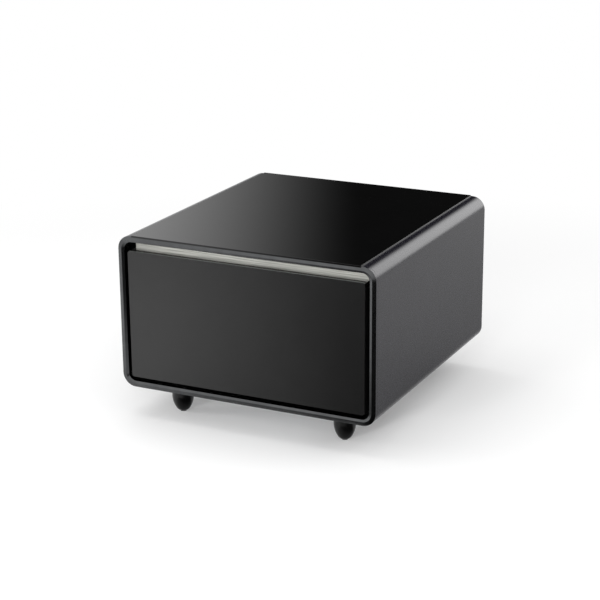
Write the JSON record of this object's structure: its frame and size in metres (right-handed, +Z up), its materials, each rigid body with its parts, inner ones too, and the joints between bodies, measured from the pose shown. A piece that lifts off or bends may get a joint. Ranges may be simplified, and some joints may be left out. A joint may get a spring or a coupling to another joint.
{
  "type": "refrigerator nightstand",
  "caption": "Low rounded metal case on short feet with a glass top, and one chilled glass-fronted drawer on ball-bearing runners with a finger channel along its top.",
  "frame": {"origin": "on the floor, under the middle of the case's plan", "axes": "+Z up, +Y from the drawer front to the rear panel, +X to the right as seen from the front"},
  "size_m": [0.6, 0.62, 0.412],
  "materials": {
    "case_paint": "satin",
    "rim_plastic": "satin",
    "top_glass": "gloss",
    "front_glass": "gloss",
    "foot_plastic": "gloss",
    "glide_rubber": "matte",
    "gasket_rubber": "matte",
    "zinc_steel": "satin",
    "runner_steel": "satin",
    "panel_paint": "matte",
    "insulation": "matte",
    "white_plastic": "satin",
    "black_plastic": "satin",
    "brushed_strip": "satin",
    "bin_plastic": "gloss",
    "light_diffuser": "satin",
    "plate_aluminium": "matte",
    "compressor_paint": "gloss",
    "copper_pipe": "satin",
    "circuit_board": "satin"
  },
  "bodies": {
    "cabinet": {"outer_shell": "case_paint", "front_rim": "rim_plastic", "top_glass": "top_glass", "foot_front_left": "foot_plastic", "foot_front_right": "foot_plastic", "foot_rear_left": "foot_plastic", "foot_rear_right": "foot_plastic", "foot_glides": "glide_rubber", "compressor_mounts": "glide_rubber", "foot_studs": "zinc_steel", "foot_nuts": "zinc_steel", "panel_screws": "zinc_steel", "compressor_bolts": "zinc_steel", "bulkhead": "zinc_steel", "base_pan": "zinc_steel", "cabinet_rail_left": "runner_steel", "cabinet_rail_right": "runner_steel", "rear_panel": "panel_paint", "foam_body": "insulation", "cabinet_liner": "white_plastic", "temperature_probe": "white_plastic", "evaporator_spacers": "white_plastic", "board_cover": "white_plastic", "drain_tube": "white_plastic", "face_frame": "black_plastic", "terminal_cover": "black_plastic", "fan_frame": "black_plastic", "power_inlet": "black_plastic", "drip_tray": "black_plastic", "light_bar": "light_diffuser", "evaporator_plate": "plate_aluminium", "condenser_fins": "plate_aluminium", "compressor": "compressor_paint", "condenser_coil": "copper_pipe", "filter_drier": "copper_pipe", "discharge_pipe": "copper_pipe", "suction_pipe": "copper_pipe", "capillary_pipe": "copper_pipe", "control_board": "circuit_board"},
    "drawer": {"door_glass": "front_glass", "door_housing": "black_plastic", "handle_channel": "black_plastic", "channel_ends": "black_plastic", "grip_strip": "brushed_strip", "door_foam": "insulation", "door_liner": "white_plastic", "door_gasket": "gasket_rubber", "drawer_bin": "bin_plastic", "bin_divider": "bin_plastic", "bin_screws": "zinc_steel", "drawer_rail_left": "runner_steel", "drawer_rail_right": "runner_steel"},
    "middle_left": {"middle_rail_left": "runner_steel"},
    "middle_right": {"middle_rail_right": "runner_steel"},
    "outer_cage_left": {"outer_cage_left": "runner_steel"},
    "outer_cage_right": {"outer_cage_right": "runner_steel"},
    "inner_cage_left": {"inner_cage_left": "runner_steel"},
    "inner_cage_right": {"inner_cage_right": "runner_steel"},
    "fan": {"fan_rotor": "black_plastic"}
  },
  "joints": [
    {"name": "drawer_slide", "type": "slide", "parent": "cabinet", "child": "drawer", "axis": [0, -1, 0], "range_m": [0, 0.35]},
    {"name": "middle_slide_left", "type": "slide", "parent": "cabinet", "child": "middle_left", "axis": [0, -1, 0], "range_m": [0, 0.175]},
    {"name": "outer_cage_slide_left", "type": "slide", "parent": "cabinet", "child": "outer_cage_left", "axis": [0, -1, 0], "range_m": [0, 0.0875]},
    {"name": "inner_cage_slide_left", "type": "slide", "parent": "cabinet", "child": "inner_cage_left", "axis": [0, -1, 0], "range_m": [0, 0.2625]},
    {"name": "middle_slide_right", "type": "slide", "parent": "cabinet", "child": "middle_right", "axis": [0, -1, 0], "range_m": [0, 0.175]},
    {"name": "outer_cage_slide_right", "type": "slide", "parent": "cabinet", "child": "outer_cage_right", "axis": [0, -1, 0], "range_m": [0, 0.0875]},
    {"name": "inner_cage_slide_right", "type": "slide", "parent": "cabinet", "child": "inner_cage_right", "axis": [0, -1, 0], "range_m": [0, 0.2625]},
    {"name": "fan_spin", "type": "hinge", "parent": "cabinet", "child": "fan", "pos_m": [-0.09, 0.2248, 0.1325], "axis": [1, 0, 0], "continuous": true}
  ],
  "couplings": [
    {"joint": "middle_slide_left", "follows": "drawer_slide", "ratio": 0.5},
    {"joint": "outer_cage_slide_left", "follows": "drawer_slide", "ratio": 0.25},
    {"joint": "inner_cage_slide_left", "follows": "drawer_slide", "ratio": 0.75},
    {"joint": "middle_slide_right", "follows": "drawer_slide", "ratio": 0.5},
    {"joint": "outer_cage_slide_right", "follows": "drawer_slide", "ratio": 0.25},
    {"joint": "inner_cage_slide_right", "follows": "drawer_slide", "ratio": 0.75}
  ]
}
